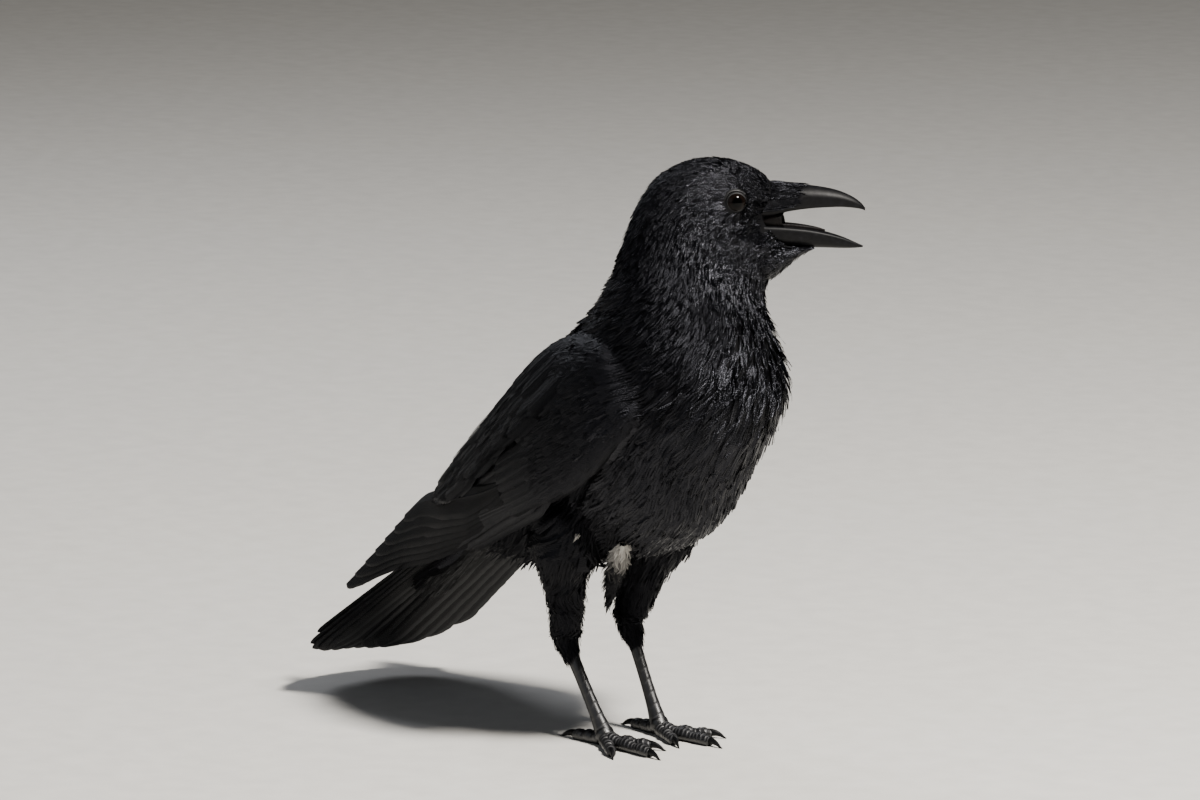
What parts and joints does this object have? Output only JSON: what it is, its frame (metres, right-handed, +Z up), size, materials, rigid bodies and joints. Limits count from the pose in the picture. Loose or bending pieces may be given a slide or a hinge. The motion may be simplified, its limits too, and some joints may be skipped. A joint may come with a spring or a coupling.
{
  "type": "carrion crow model",
  "caption": "Life-size still model of a black crow standing on both feet, head turned to its left and bill open in a call.",
  "frame": {"origin": "middle of the bird's footprint box, on the ground it stands on", "axes": "+X the way the body faces, +Y to the bird's left, +Z up"},
  "size_m": [0.3166, 0.1326, 0.3056],
  "materials": {
    "plumage": "soft black contour feathers with a faint blue and violet sheen",
    "flight_feathers": "smooth glossy black vanes",
    "down": "loose pale grey down",
    "horn": "smooth black horn, satin gloss",
    "scutes": "hard scaly black skin",
    "eye": "dark brown wet eye",
    "mouth": "moist dark flesh"
  },
  "bodies": {
    "root": {"bill_lower": "horn", "bill_upper": "horn", "claw_hind_left": "horn", "claw_hind_right": "horn", "claw_inner_left": "horn", "claw_inner_right": "horn", "claw_middle_left": "horn", "claw_middle_right": "horn", "claw_outer_left": "horn", "claw_outer_right": "horn", "eye_left": "eye", "eye_right": "eye", "head": "plumage", "neck": "plumage", "primaries_left": "flight_feathers", "primaries_right": "flight_feathers", "shank_left": "scutes", "shank_right": "scutes", "tail": "flight_feathers", "thigh_left": "plumage", "thigh_right": "plumage", "toe_hind_left": "scutes", "toe_hind_right": "scutes", "toe_inner_left": "scutes", "toe_inner_right": "scutes", "toe_middle_left": "scutes", "toe_middle_right": "scutes", "toe_outer_left": "scutes", "toe_outer_right": "scutes", "tongue": "mouth", "trunk": "plumage", "vent_down": "down", "wing_left": "plumage", "wing_right": "plumage"}
  },
  "joints": []
}
